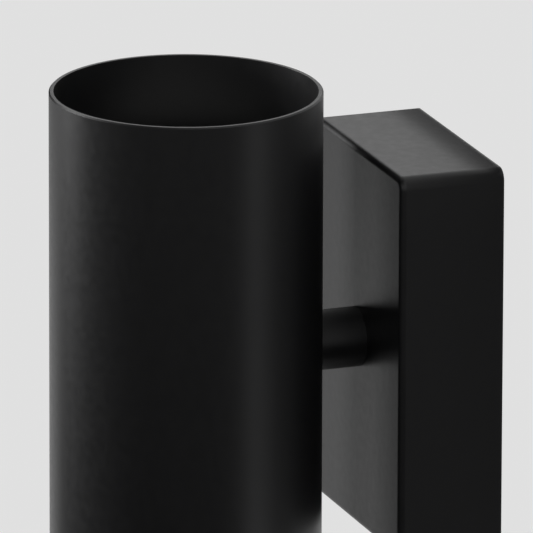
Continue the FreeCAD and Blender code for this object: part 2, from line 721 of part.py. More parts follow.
def cut_keyholes(body):
    """Two keyholes: a wide mouth that lets a pin's head in, and a curved slot that locks it."""
    middle = "(Sizes.pin_spacing / 2)"
    narrow = "(Sizes.pin_neck_diameter / 2 + Sizes.pin_play)"
    wide = "(Sizes.pin_head_diameter / 2 + Sizes.pin_play)"
    for radius, turn in ((narrow, "0"), (wide, "Sizes.twist_angle")):
        ends = new_sketch(body, "XY_Plane", "Sizes.holder_height")
        for side in ("0", "180"):
            angle = f"(({side} + {turn}) * 1 deg)"
            circle(ends, radius, f"{middle} * cos({angle})", f"{middle} * sin({angle})")
        pocket(body, ends, "Sizes.holder_face")
    slots = new_sketch(body, "XY_Plane", "Sizes.holder_height")
    for side in ("0", "180"):
        edges = (f"{middle} - {narrow}", f"{middle} + {narrow}")
        sector(slots, *edges, side, f"({side} + Sizes.twist_angle)")
    pocket(body, slots, "Sizes.holder_face")


def make_contacts(label, upper):
    """Two sprung contact plates under the pins, each with a tail down to its lead."""
    body = new_body(label)
    plate = new_sketch(body, "XY_Plane", f"{CONTACT_TOP} - Sizes.contact_thickness")
    tails = new_sketch(body, "XY_Plane", f"{CONTACT_TOP}")
    inner = f"({CHAMBER_INNER} + Sizes.contact_play)"
    outer = f"({CHAMBER_OUTER} - Sizes.contact_play)"
    tail_side, pin_side = "Sizes.contact_tail_angle", "Sizes.contact_margin_angle"
    sector(plate, inner, outer, f"-{pin_side}", f"max({tail_side}; Sizes.twist_angle + {pin_side})")
    sector(plate, inner, outer, f"180 - {tail_side}", f"180 + Sizes.twist_angle + {pin_side}")
    pad(body, plate, "Sizes.contact_thickness")
    half_width, half_thickness = "Sizes.tail_width / 2", "Sizes.contact_thickness / 2"
    for sign in "-+":
        rectangle(tails, half_width, half_thickness, f"{sign}Sizes.contact_offset", TAIL_LINE)
    pad(body, tails, f"{CONTACT_TOP} - Sizes.lead_entry_height + Sizes.tail_reach", reverse=True)
    seat_in_tube(body, HOLDER_SEAT, upper)


def sector(sketch, inner, outer, first, last):
    """A flat ring sector about the sketch's origin, between two angles in degrees."""
    normal, origin = FreeCAD.Vector(0, 0, 1), FreeCAD.Vector()
    radii, angles = (outer, inner), (first, last)
    start, end = (math.radians(value(angle)) for angle in angles)
    arcs = []
    for radius in radii:
        ring = Part.ArcOfCircle(Part.Circle(origin, normal, value(radius)), start, end)
        element = sketch.addGeometry(ring)
        place(sketch, element, 3, "0", "0")
        constrain(sketch, radius, "Radius", element)
        arcs.append(element)
    for vertex, angle in enumerate(angles, start=1):
        turn = FreeCAD.Rotation(normal, value(angle))
        points = [turn.multVec(FreeCAD.Vector(value(radius), 0, 0)) for radius in radii]
        side = sketch.addGeometry(Part.LineSegment(*points))
        for end_of_side, (element, radius) in enumerate(zip(arcs, radii), start=1):
            rise = f"({radius}) * sin(({angle}) * 1 deg)"
            constrain(sketch, rise, "DistanceY", -1, 1, element, vertex)
            joint = ("Coincident", side, end_of_side, element, vertex)
            sketch.addConstraint(Sketcher.Constraint(*joint))


def make_lampholder_screws():
    """Two long screws through both lampholders and the strip between them."""
    body = new_body("lampholder_screws")
    places = [("0", along) for along in holder_screw_lines()]
    seat = f"({HOLDER_SEAT} + Sizes.holder_height - Sizes.holder_recess_depth)"
    shank = new_sketch(body, "XY_Plane", seat)
    heads = new_sketch(body, "XY_Plane", seat)
    for across, along in places:
        circle(shank, "Sizes.holder_screw_diameter / 2", across, along)
        circle(heads, "Sizes.holder_screw_head_diameter / 2", across, along)
    pad(body, shank, f"{seat} * 2 + Sizes.holder_nut_thickness", reverse=True)
    pad(body, heads, "Sizes.holder_screw_head_height")
    top = f"{seat} + Sizes.holder_screw_head_height"
    driver_slots(body, "XY_Plane", top, places, "Sizes.holder_screw_head_diameter")


def make_lampholder_nuts():
    body = new_body("lampholder_nuts")
    seat = f"-({HOLDER_SEAT} + Sizes.holder_height - Sizes.holder_recess_depth)"
    nuts = new_sketch(body, "XY_Plane", seat)
    for along in holder_screw_lines():
        hexagon(nuts, "Sizes.holder_nut_flats", "0", along)
        circle(nuts, "Sizes.holder_screw_diameter / 2 + Sizes.holder_screw_fit / 2", "0", along)
    pad(body, nuts, "Sizes.holder_nut_thickness", reverse=True)


# ---- The lamps ----

def make_lamp(name, upper):
    """Reflector-shaped lamp in three pieces, made about its own axis from its seat upwards."""
    body = new_body(name + "_body")
    half = new_sketch(body, "XZ_Plane")
    base, rim = "Sizes.lamp_base_diameter / 2", "Sizes.lamp_diameter / 2"
    lens_hole = "Sizes.lens_diameter / 2"
    shoulder = "Sizes.lamp_length - Sizes.lamp_rim_height"
    lens_floor = "Sizes.lamp_length - Sizes.lens_recess - Sizes.lens_thickness"
    outline(half, [
        ("0", "0"), (base, "0"), (base, "Sizes.lamp_base_length"), (rim, shoulder),
        (rim, "Sizes.lamp_length"), (lens_hole, "Sizes.lamp_length"), (lens_hole, lens_floor),
        ("0", lens_floor),
    ])
    turned(body, "Revolution", half)
    round_lamp(body)
    seat_in_tube(body, LAMP_SEAT, upper)
    lens = new_body(name + "_lens")
    disc = new_sketch(lens, "XY_Plane", lens_floor)
    circle(disc, lens_hole)
    pad(lens, disc, "Sizes.lens_thickness")
    seat_in_tube(lens, LAMP_SEAT, upper)
    make_lamp_pins(name + "_pins", upper)


def round_lamp(body):
    """Round the neck where the base meets the cone, and the shoulder where the cone meets the rim."""
    neck = value("Sizes.lamp_base_length")
    dress(body, "Fillet", edges_where(body, lambda point: near(point.z, neck)),
          "Sizes.lamp_neck_radius")
    shoulder = value("Sizes.lamp_length - Sizes.lamp_rim_height")
    dress(body, "Fillet", edges_where(body, lambda point: near(point.z, shoulder)),
          "Sizes.lamp_bell_radius")


def make_lamp_pins(label, upper):
    """Two headed pins below the lamp's base."""
    body = new_body(label)
    necks = new_sketch(body, "XY_Plane")
    heads = new_sketch(body, "XY_Plane", "-(Sizes.holder_face + Sizes.pin_play)")
    for sign in "-+":
        across = f"{sign}Sizes.pin_spacing / 2"
        circle(necks, "Sizes.pin_neck_diameter / 2", across)
        circle(heads, "Sizes.pin_head_diameter / 2", across)
    pad(body, necks, "Sizes.holder_face + Sizes.pin_play", reverse=True)
    pad(body, heads, "Sizes.pin_head_length", reverse=True)
    seat_in_tube(body, LAMP_SEAT, upper)


# ---- The terminal block ----

def pole_places():
    return [f"(Sizes.block_offset {sign} Sizes.pole_pitch)" for sign in "-+"] + ["Sizes.block_offset"]


def make_terminal_block():
    """Moulded block of three poles, screwed to its boss in the box."""
    body = new_body("terminal_block")
    face = new_sketch(body, "XZ_Plane", f"{BLOCK_BACK} - Sizes.block_thickness")
    half_length = f"(Sizes.pole_pitch * {len(pole_places())} / 2)"
    middle = ("Sizes.block_offset", "Sizes.block_height_on_box")
    rectangle(face, half_length, "Sizes.block_width / 2", *middle)
    circle(face, "Sizes.block_screw_diameter / 2 + Sizes.block_screw_fit", *BLOCK_SCREW_PLACE)
    pad(body, face, "Sizes.block_thickness")
    head_seat = new_sketch(body, "XZ_Plane", f"{BLOCK_BACK} - Sizes.block_thickness")
    head_hole = "Sizes.block_screw_head_diameter / 2 + Sizes.block_screw_fit"
    circle(head_seat, head_hole, *BLOCK_SCREW_PLACE)
    pocket(body, head_seat, "Sizes.block_thickness / 2", reverse=True)
    bores = new_sketch(body, "XY_Plane", "Sizes.block_height_on_box")
    for across in pole_places():
        circle(bores, f"{CLAMP_RADIUS} + Sizes.clamp_fit", across, f"-{POLE_DEPTH}")
    pocket(body, bores, through("Sizes.block_width"), symmetric=True)
    wells = new_sketch(body, "XZ_Plane", f"{BLOCK_BACK} - Sizes.block_thickness")
    for across, up in terminal_screw_places():
        circle(wells, "Sizes.terminal_well_diameter / 2", across, up)
    pocket(body, wells, "Sizes.block_thickness / 2", reverse=True)


def terminal_screw_places():
    return [
        (across, f"Sizes.block_height_on_box {sign} Sizes.terminal_screw_spacing / 2")
        for across in pole_places() for sign in "-+"
    ]


def make_terminal_clamps():
    """Brass clamp tubes, one in each pole, with holes for the two screws."""
    body = new_body("terminal_clamps")
    tubes = new_sketch(body, "XY_Plane", "Sizes.block_height_on_box - Sizes.clamp_length / 2")
    for across in pole_places():
        circle(tubes, CLAMP_RADIUS, across, f"-{POLE_DEPTH}")
        circle(tubes, "Sizes.pole_bore / 2", across, f"-{POLE_DEPTH}")
    pad(body, tubes, "Sizes.clamp_length")
    holes = new_sketch(body, "XZ_Plane", f"{POLE_DEPTH} - {CLAMP_RADIUS}")
    for across, up in terminal_screw_places():
        circle(holes, "Sizes.terminal_screw_diameter / 2 + Sizes.clamp_fit", across, up)
    pocket(body, holes, CLAMP_RADIUS, reverse=True)


def make_terminal_screws():
    """Six grub screws that press the wires in the clamps, sunk in their wells."""
    body = new_body("terminal_screws")
    start = f"({BLOCK_BACK} - Sizes.block_thickness + Sizes.terminal_well_depth)"
    wire_top = f"({POLE_DEPTH} - Sizes.lead_diameter - Sizes.lead_play)"
    places = terminal_screw_places()
    radius = ["Sizes.terminal_screw_diameter / 2"]
    disc_on_wall_axis(body, start, f"{wire_top} - {start} - Sizes.clamp_fit", radius, places)
    driver_slots(body, "XZ_Plane", start, places, "Sizes.terminal_screw_diameter", reverse=True)


def make_block_screw():
    body = new_body("block_screw")
    places = [BLOCK_SCREW_PLACE]
    seat = f"({BLOCK_BACK} - Sizes.block_thickness / 2)"
    head = f"({seat} - Sizes.block_screw_head_height)"
    shank_radius = ["Sizes.block_screw_diameter / 2"]
    head_radius = ["Sizes.block_screw_head_diameter / 2"]
    disc_on_wall_axis(body, seat, f"{BOX_INSIDE} - {seat}", shank_radius, places)
    disc_on_wall_axis(body, head, "Sizes.block_screw_head_height", head_radius, places)
    driver_slots(body, "XZ_Plane", head, places, "Sizes.block_screw_head_diameter", reverse=True)


# ---- The earth connection in the box ----

def make_earth_tag():
    """Ring tag under the earth screw, with the crimp barrel that holds the earth lead."""
    body = new_body("earth_tag")
    radii = ("Sizes.earth_head_diameter / 2", EARTH_SCREW_HOLE)
    disc_on_wall_axis(body, TAG_FACE, "Sizes.earth_tag_thickness", radii, [TAG_CENTRE])
    tongue = new_sketch(body, "XZ_Plane", f"{EARTH_SEAT} - Sizes.earth_tag_barrel_wall")
    half_tongue = "Sizes.earth_tag_tongue_width / 2"
    rectangle(tongue, half_tongue, half_tongue, TAG_CENTRE[0], BARREL_TOP)
    pad(body, tongue, "Sizes.earth_tag_barrel_wall")
    barrel = new_sketch(body, "XY_Plane", BARREL_TOP)
    for radius in (BARREL_RADIUS, "Sizes.lead_diameter / 2"):
        circle(barrel, radius, TAG_CENTRE[0], f"-{BARREL_DEPTH}")
    pad(body, barrel, "Sizes.earth_tag_barrel_length", reverse=True)


def make_earth_screw():
    body = new_body("earth_screw")
    shank_length = "Sizes.earth_boss_height + Sizes.earth_tag_thickness"
    disc_on_wall_axis(body, TAG_FACE, shank_length, ["Sizes.earth_screw_diameter / 2"], [TAG_CENTRE])
    head = f"({TAG_FACE} - Sizes.earth_head_height)"
    radius = ["Sizes.earth_head_diameter / 2"]
    disc_on_wall_axis(body, head, "Sizes.earth_head_height", radius, [TAG_CENTRE])
    driver_slots(body, "XZ_Plane", head, [TAG_CENTRE], "Sizes.earth_head_diameter", reverse=True)


# ---- The leads inside ----

def tangent_path(points):
    """A wire of straight runs joined by tangent arcs, each as large as its runs and room allow."""
    edges, radii, start = [], [], points[0]
    room = value("Sizes.lead_bend_room")
    for before, corner, after in zip(points, points[1:], points[2:]):
        arriving, leaving = corner - before, after - corner
        trim = min(BEND_SHARE * arriving.Length, BEND_SHARE * leaving.Length, room)
        radius = trim / math.tan(arriving.getAngle(leaving) / 2)
        enter = corner - arriving.normalize() * trim
        leave = corner + leaving.normalize() * trim
        inward = (enter + leave) * 0.5 - corner
        middle = corner + inward.normalize() * (math.hypot(radius, trim) - radius)
        edges.append(Part.LineSegment(start, enter).toShape())
        edges.append(Part.Arc(enter, middle, leave).toShape())
        radii.append(radius)
        start = leave
    edges.append(Part.LineSegment(start, points[-1]).toShape())
    return Part.Wire(edges), radii


def make_lead(label, points):
    """One insulated lead along its route, as a round tube of the lead's diameter."""
    path, radii = tangent_path(points)
    radius = value("Sizes.lead_diameter / 2")
    ring = Part.Circle(points[0], points[1] - points[0], radius).toShape()
    solid = path.makePipeShell([Part.Wire([ring])], True, False)
    expected = math.pi * radius ** 2 * path.Length
    print(f"{label}: {path.Length:.1f} mm, radii {', '.join(f'{r:.1f}' for r in radii)}, "
          f"volume {solid.Volume / expected:.4f} of section times length")
    piece = doc.addObject("Part::Feature", label)
    piece.Shape = solid
    piece.Placement = FreeCAD.Placement()
    return piece


def spot(across, forward, up):
    """A point from expressions for its place across, forward off the wall, and up."""
    return FreeCAD.Vector(value(across), -value(forward), value(up))


def make_lamp_leads():
    """Live and neutral leads from each lampholder, through the rod, to the terminal block."""
    for upper, name in ((1, "upper"), (-1, "lower")):
        for side, wire, pole in (
            (-1, "live", "(Sizes.block_offset - Sizes.pole_pitch)"),
            (1, "neutral", "Sizes.block_offset"),
        ):
            entry_up = f"({upper} * ({HOLDER_SEAT} + Sizes.lead_entry_height))"
            entry_across = f"({side} * Sizes.contact_offset)"
            across = f"({side} * Sizes.lead_spread / 2)"
            up = f"({upper} * Sizes.lead_spread / 2)"
            in_pole = f"({POLE_DEPTH} - {upper} * (Sizes.lead_diameter + Sizes.lead_play) / 2)"
            turn_down = f"({BUSH_END} - Sizes.lead_turn_reach - {upper} * Sizes.lead_spread / 2)"
            points = [
                spot(entry_across, f"{TUBE_AXIS} - Sizes.contact_offset", entry_up),
                spot(entry_across, f"{TUBE_AXIS} - {HOLDER_RADIUS} - Sizes.lead_holder_run", entry_up),
                spot(across, f"{ROD_FRONT_END} + Sizes.bush_lip + Sizes.lead_rod_run", up),
                spot(across, turn_down, up),
                spot(pole, in_pole, f"{CLAMP_MOUTH} + Sizes.lead_block_run"),
                spot(pole, in_pole, f"{CLAMP_MOUTH} - Sizes.lead_in_clamp"),
            ]
            make_lead(f"{name}_{wire}_lead", points)


def make_earth_lead():
    """Earth lead from the terminal block's last pole to the ring tag."""
    pole = "(Sizes.block_offset + Sizes.pole_pitch)"
    barrel_low = f"({BARREL_TOP} - Sizes.earth_tag_barrel_length)"
    points = [
        spot(pole, POLE_DEPTH, f"{CLAMP_MOUTH} - Sizes.lead_in_clamp"),
        spot(pole, POLE_DEPTH, f"{CLAMP_MOUTH} + Sizes.earth_lead_run"),
        spot(TAG_CENTRE[0], BARREL_DEPTH, f"{barrel_low} - Sizes.earth_lead_run"),
        spot(TAG_CENTRE[0], BARREL_DEPTH, BARREL_TOP),
    ]
    make_lead("earth_lead", points)


# ---- Build, check and write ----

def build():
    make_tube()
    make_arm()
    make_threaded_rod()
    make_nut("box_nut", f"{BOX_NUT_FACE} - Sizes.rod_nut_thickness")
    make_nut("tube_nut", STRIP_FACE)
    make_box_washer()
    make_saddle_washer()
    make_rod_bushes()
    make_wall_box()
    make_wall_bracket()
    make_cover_screws()
    make_bracket_earth_screw()
    make_lampholder_strip()
    for upper, name in ((True, "upper"), (False, "lower")):
        make_lampholder(name + "_lampholder", upper)
        make_contacts(name + "_contacts", upper)
        make_lamp(name + "_lamp", upper)
    make_lampholder_screws()
    make_lampholder_nuts()
    make_terminal_block()
    make_terminal_clamps()
    make_terminal_screws()
    make_block_screw()
    make_earth_tag()
    make_earth_screw()
    make_lamp_leads()
    make_earth_lead()
    doc.recompute()


def sub_parts():
    """The finished pieces: every body, and every lead."""
    kinds = ("PartDesign::Body", "Part::Feature")
    return [piece for piece in doc.Objects if piece.TypeId in kinds]


def check():
    for piece in doc.Objects:
        if "Invalid" in piece.State or "Error" in piece.State:
            raise RuntimeError(f"{piece.Label} failed: {piece.State}")
    for piece in sub_parts():
        if piece.Shape.isNull() or not piece.Shape.isValid():
            raise RuntimeError(f"{piece.Label} has no valid shape")


def write():
    os.makedirs("parts", exist_ok=True)
    for piece in sub_parts():
        piece.Shape.exportStep(f"parts/{piece.Label}.step")


build()
check()
write()
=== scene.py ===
import json
import math

import bpy
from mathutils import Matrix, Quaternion, Vector

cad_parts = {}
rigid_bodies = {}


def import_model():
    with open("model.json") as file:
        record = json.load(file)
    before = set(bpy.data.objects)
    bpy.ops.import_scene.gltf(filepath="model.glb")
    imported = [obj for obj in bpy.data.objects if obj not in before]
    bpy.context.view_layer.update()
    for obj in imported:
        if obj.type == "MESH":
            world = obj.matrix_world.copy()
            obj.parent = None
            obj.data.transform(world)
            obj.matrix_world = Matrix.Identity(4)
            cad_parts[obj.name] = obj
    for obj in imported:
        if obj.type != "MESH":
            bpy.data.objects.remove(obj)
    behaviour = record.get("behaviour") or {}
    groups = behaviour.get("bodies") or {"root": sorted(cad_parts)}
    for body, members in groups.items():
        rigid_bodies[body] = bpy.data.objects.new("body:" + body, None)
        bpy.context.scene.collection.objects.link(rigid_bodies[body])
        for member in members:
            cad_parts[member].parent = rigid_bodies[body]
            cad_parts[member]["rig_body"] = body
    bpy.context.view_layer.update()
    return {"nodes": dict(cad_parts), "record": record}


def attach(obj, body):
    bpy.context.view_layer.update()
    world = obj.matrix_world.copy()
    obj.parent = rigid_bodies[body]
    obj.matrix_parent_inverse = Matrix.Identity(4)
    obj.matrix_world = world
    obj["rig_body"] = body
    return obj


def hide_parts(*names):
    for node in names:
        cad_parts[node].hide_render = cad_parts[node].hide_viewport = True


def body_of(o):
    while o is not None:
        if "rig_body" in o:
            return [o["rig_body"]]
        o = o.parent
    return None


# Up-and-down wall light in satin black: metres, the wall is the plane Y = 0, the light stands
# out towards -Y and +Z is up. The frame's pieces keep their shape and place: where one needs more
# form, such as a thread, vents or rounded edges, a new piece stands for it.

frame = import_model()
NODES = frame["nodes"]
SLOTS = {part["node"]: part["material_slot"] for part in frame["record"]["subparts"]}
MM = 0.001
# Points nearer than this are merged
MERGE = 0.001 * MM
UP = Vector((0, 0, 1))
OUT = Vector((0, -1, 0))


# ---- Colour and nodes ----

def linear(code):
    """An sRGB hex colour, such as "1A1A1B", as the linear colour that a socket takes."""
    shares = [int(code[start:start + 2], 16) / 255 for start in (0, 2, 4)]
    return [s / 12.92 if s <= 0.04045 else ((s + 0.055) / 1.055) ** 2.4 for s in shares] + [1]


def add(material, kind, values=(), links=()):
    """Add a node, set its inputs or properties by name or number, and link inputs to outputs."""
    node = material.node_tree.nodes.new(kind)
    for name, value in dict(values).items():
        if isinstance(name, int) or name in node.inputs:
            node.inputs[name].default_value = value
        else:
            setattr(node, name, value)
    for name, output in dict(links).items():
        material.node_tree.links.new(output, node.inputs[name])
    return node


def new_material(name, **settings):
    """A material with one shader, and the object coordinates that its patterns read."""
    material = bpy.data.materials.new(name)
    material.use_nodes = True
    shader = material.node_tree.nodes["Principled BSDF"]
    for key, value in settings.items():
        shader.inputs[key.replace("_", " ").title().replace("Ior", "IOR")].default_value = value
    place = add(material, "ShaderNodeTexCoord").outputs["Object"]
    return material, shader, place


def per(size):
    """Scale of a pattern whose features are this many metres apart."""
    return 1 / size


# Most values of a noise pattern lie between these
NOISE_LOW, NOISE_HIGH = 0.3, 0.7
# A fleck fades out at this many times its radius
FLECK_FADE = 1.5


def mottle(material, place, size, dark, pale):
    """Soft patches of two colours, as an output."""
    patches = add(material, "ShaderNodeTexNoise", {"Scale": per(size), "Detail": 3.0},
                  {"Vector": place})
    mix = add(material, "ShaderNodeMix", {"data_type": "RGBA", 6: linear(dark), 7: linear(pale)},
              {0: patches.outputs[0]})
    return mix.outputs[2]


def vary(material, place, size, low, high):
    """A number that wanders between two values over the surface, as an output."""
    patches = add(material, "ShaderNodeTexNoise", {"Scale": per(size), "Detail": 2.0},
                  {"Vector": place})
    spread = add(material, "ShaderNodeMapRange",
                 {"From Min": NOISE_LOW, "From Max": NOISE_HIGH, "To Min": low, "To Max": high},
                 {"Value": patches.outputs[0]})
    return spread.outputs[0]


def relief(material, place, sizes, height):
    """Fine relief whose features have a size along each axis, in millimetres, as a normal."""
    stretch = add(material, "ShaderNodeMapping", {"Scale": [per(size * MM) for size in sizes]},
                  {"Vector": place})
    noise = add(material, "ShaderNodeTexNoise", {"Scale": 1.0, "Detail": 2.0},
                {"Vector": stretch.outputs[0]})
    bump = add(material, "ShaderNodeBump", {"Strength": 1.0, "Distance": height * MM},
               {"Height": noise.outputs[0]})
    return bump.outputs[0]


def specks(material, place, spacing, size, body, fleck):
    """Small flecks of another colour, a spacing apart, over a body colour."""
    cells = add(material, "ShaderNodeTexVoronoi", {"Scale": per(spacing)}, {"Vector": place})
    share = add(material, "ShaderNodeMapRange",
                {"From Min": size / spacing, "From Max": size / spacing * FLECK_FADE},
                {"Value": cells.outputs["Distance"]})
    mix = add(material, "ShaderNodeMix", {"data_type": "RGBA", 6: linear(fleck)},
              {0: share.outputs[0], 7: body})
    return mix.outputs[2]


def link(material, output, node, name):
    """Link an output to an input of another node."""
    material.node_tree.links.new(output, node.inputs[name])


# ---- Finishes ----
# Real drawing, rolling and turning lines and moulded grain are finer than the sizes that relief is
# given here. They are drawn this coarse so that they show.

PEEL_SIZE = 0.9 * MM
PEEL_HEIGHT = 0.05 * MM
PEEL_STRENGTH = 0.02


def black_powder_coat():
    """Satin polyester powder coat: a broad soft gloss over a faint orange peel."""
    material, shader, place = new_material("black_powder_coat", ior=1.42)
    link(material, mottle(material, place, 4 * MM, "0B0B0C", "0E0E0F"), shader, "Base Color")
    link(material, vary(material, place, 3 * MM, 0.36, 0.40), shader, "Roughness")
    peel = add(material, "ShaderNodeTexNoise", {"Scale": per(PEEL_SIZE), "Detail": 1.0},
               {"Vector": place})
    bump = add(material, "ShaderNodeBump", {"Strength": PEEL_STRENGTH, "Distance": PEEL_HEIGHT},
               {"Height": peel.outputs[0]})
    link(material, bump.outputs[0], shader, "Normal")
    return material


def zinc_plated_steel():
    """Bright zinc plating on drawn steel: cool grey, a faint straw tint, fine lines down it."""
    material, shader, place = new_material("zinc_plated_steel", metallic=1.0)
    link(material, mottle(material, place, 9 * MM, "A4A8AE", "C6C4BA"), shader, "Base Color")
    link(material, vary(material, place, 2.5 * MM, 0.29, 0.37), shader, "Roughness")
    link(material, relief(material, place, (0.35, 0.35, 7), 0.012), shader, "Normal")
    return material


def tinned_copper():
    """Tin over copper: a warm, dull silver with a slightly wavy skin."""
    material, shader, place = new_material("tinned_copper", metallic=1.0)
    link(material, mottle(material, place, 2 * MM, "B4AC9F", "C9C3B8"), shader, "Base Color")
    link(material, vary(material, place, 1 * MM, 0.32, 0.5), shader, "Roughness")
    link(material, relief(material, place, (0.6, 0.6, 0.6), 0.015), shader, "Normal")
    return material


def sprung_brass():
    """Cold-rolled brass: yellow, with slight tarnish and rolling lines."""
    material, shader, place = new_material("sprung_brass", metallic=1.0)
    link(material, mottle(material, place, 3 * MM, "A9863F", "D2B266"), shader, "Base Color")
    link(material, vary(material, place, 1 * MM, 0.26, 0.42), shader, "Roughness")
    link(material, relief(material, place, (0.25, 3, 0.25), 0.006), shader, "Normal")
    return material


def white_ceramic():
    """Unglazed steatite, pressed and fired: off-white, dry to the eye, with rare iron specks."""
    material, shader, place = new_material("white_ceramic")
    body = mottle(material, place, 5 * MM, "E0DBCF", "ECE8DE")
    link(material, specks(material, place, 2.4 * MM, 0.10 * MM, body, "9A8F7E"), shader,
         "Base Color")
    link(material, vary(material, place, 1 * MM, 0.55, 0.72), shader, "Roughness")
    link(material, relief(material, place, (0.3, 0.3, 0.3), 0.02), shader, "Normal")
    return material


def lamp_shell():
    """White moulded thermoplastic with a fine spark-eroded texture."""
    material, shader, place = new_material("lamp_shell")
    link(material, mottle(material, place, 10 * MM, "E3E3E0", "EDEDEA"), shader, "Base Color")
    link(material, vary(material, place, 1 * MM, 0.38, 0.5), shader, "Roughness")
    link(material, relief(material, place, (0.25, 0.25, 0.25), 0.01), shader, "Normal")
    return material


def lamp_lens():
    """Frosted polycarbonate diffuser: milky, and lit a little from within by what falls on it."""
    material, shader, place = new_material(
        "lamp_lens", subsurface_weight=0.35, subsurface_radius=(1, 1, 1), subsurface_scale=1 * MM
    )
    link(material, mottle(material, place, 6 * MM, "EDEDE9", "F6F6F3"), shader, "Base Color")
    link(material, vary(material, place, 1 * MM, 0.28, 0.4), shader, "Roughness")
    link(material, relief(material, place, (0.4, 0.4, 0.4), 0.012), shader, "Normal")
    return material


def nickel_plated_pins():
    """Nickel plate on turned brass: a warm bright grey, with turning lines round the pin."""
    material, shader, place = new_material("nickel_plated_pins", metallic=1.0)
    link(material, mottle(material, place, 2 * MM, "B5AFA6", "CBC6BD"), shader, "Base Color")
    link(material, vary(material, place, 1 * MM, 0.18, 0.3), shader, "Roughness")
    link(material, relief(material, place, (2, 2, 0.15), 0.004), shader, "Normal")
    return material


def natural_polyamide():
    """Undyed moulded polyamide: milky, slightly see-through, with a soft grain."""
    material, shader, place = new_material(
        "natural_polyamide", subsurface_weight=0.3, subsurface_radius=(1, 0.9, 0.7),
        subsurface_scale=0.8 * MM,
    )
    link(material, mottle(material, place, 8 * MM, "E2DCC8", "EEE9D8"), shader, "Base Color")
    link(material, vary(material, place, 2 * MM, 0.34, 0.46), shader, "Roughness")
    link(material, relief(material, place, (0.4, 0.4, 0.4), 0.01), shader, "Normal")
    return material


def extruded_insulation(name, colour):
    """Extruded wire insulation: soft satin, a little dusty."""
    material, shader, place = new_material(name)
    link(material, colour(material, place), shader, "Base Color")
    link(material, vary(material, place, 1 * MM, 0.38, 0.55), shader, "Roughness")
    link(material, relief(material, place, (0.5, 0.5, 0.5), 0.012), shader, "Normal")
    return material


def brown_silicone():
    """Brown silicone for the live leads."""
    return extruded_insulation(
        "brown_silicone",
        lambda material, place: mottle(material, place, 3 * MM, "55311D", "6B4129"),
    )


def blue_silicone():
    """Blue silicone for the neutral leads."""
    return extruded_insulation(
        "blue_silicone",
        lambda material, place: mottle(material, place, 3 * MM, "275AA2", "3A73BC"),
    )


# How far a face of the earth lead turns to +X where the yellow starts, and where it is full
YELLOW_FROM, YELLOW_FULL = 0.30, 0.36


def green_with_yellow_flank(material, place):
    """Green all round but for the flank turned to +X, which is yellow, as an output."""
    flank = add(material, "ShaderNodeTexCoord").outputs["Normal"]
    across = add(material, "ShaderNodeSeparateXYZ", {}, {0: flank}).outputs["X"]
    share = add(material, "ShaderNodeMapRange", {"From Min": YELLOW_FROM, "From Max": YELLOW_FULL},
                {"Value": across})
    mix = add(material, "ShaderNodeMix", {"data_type": "RGBA"}, {
        0: share.outputs[0], 6: mottle(material, place, 3 * MM, "2B7331", "38843C"),
        7: mottle(material, place, 3 * MM, "D3BF22", "E2CF3A"),
    })
    return mix.outputs[2]


def green_yellow_pvc():
    """Green PVC with a yellow stripe along it, for the earth lead."""
    return extruded_insulation("green_yellow_pvc", green_with_yellow_flank)


# Each finish has the name of the record's material slot that it is for
FINISHES = {
    finish.__name__: finish() for finish in (
        black_powder_coat, zinc_plated_steel, tinned_copper, sprung_brass, white_ceramic,
        lamp_shell, lamp_lens, nickel_plated_pins, natural_polyamide, brown_silicone,
        blue_silicone, green_yellow_pvc,
    )
}


def finish_nodes():
    """Give every piece of the frame the finish that the record names for it."""
    for node, slot in SLOTS.items():
        piece = NODES[node]
        piece.data.materials.clear()
        piece.data.materials.append(FINISHES[slot])


# ---- Modelling by hand, in code ----

# Points nearer than this count as level with each other
LEVEL_WITHIN = 0.01 * MM
# Faces that turn by less than the first angle are merged, and edges above the second are sharp
FLAT_WITHIN = math.radians(0.5)
SHARP_ABOVE = math.radians(40)


def choose(*pieces):
    """Select these pieces alone, and make the first the active one."""
    bpy.ops.object.select_all(action="DESELECT")
    for piece in pieces:
        piece.select_set(True)
    bpy.context.view_layer.objects.active = pieces[0]


def pick(kind, wanted):
    """In edit mode, select only the faces that pass a test of their middle and normal, or only
    the edges that pass a test of their middle and run."""
    bpy.ops.mesh.select_mode(type=kind)
    bpy.ops.mesh.select_all(action="DESELECT")
    bpy.ops.object.mode_set(mode="OBJECT")
    mesh = bpy.context.object.data
    if kind == "FACE":
        for face in mesh.polygons:
            face.select = bool(wanted(face.center, face.normal))
    else:
        for edge in mesh.edges:
            start, end = (mesh.vertices[number].co for number in edge.vertices)
            edge.select = bool(wanted((start + end) / 2, end - start))
    bpy.ops.object.mode_set(mode="EDIT")


def begin(primitive, **place):
    """Deselect everything, add a primitive at its size and place, and open it for editing."""
    bpy.ops.object.select_all(action="DESELECT")
    getattr(bpy.ops.mesh, "primitive_" + primitive + "_add")(**place)
    bpy.ops.object.mode_set(mode="EDIT")


def close_mesh():
    """Merge doubles, turn the faces outwards, and leave edit mode with the finished piece."""
    bpy.ops.mesh.select_all(action="SELECT")
    bpy.ops.mesh.remove_doubles(threshold=MERGE)
    bpy.ops.mesh.normals_make_consistent(inside=False)
    bpy.ops.object.mode_set(mode="OBJECT")
    return bpy.context.object


def facing(axis):
    """The turn that points a primitive's own Z along an axis."""
    return axis.to_track_quat("Z", "Y").to_euler()


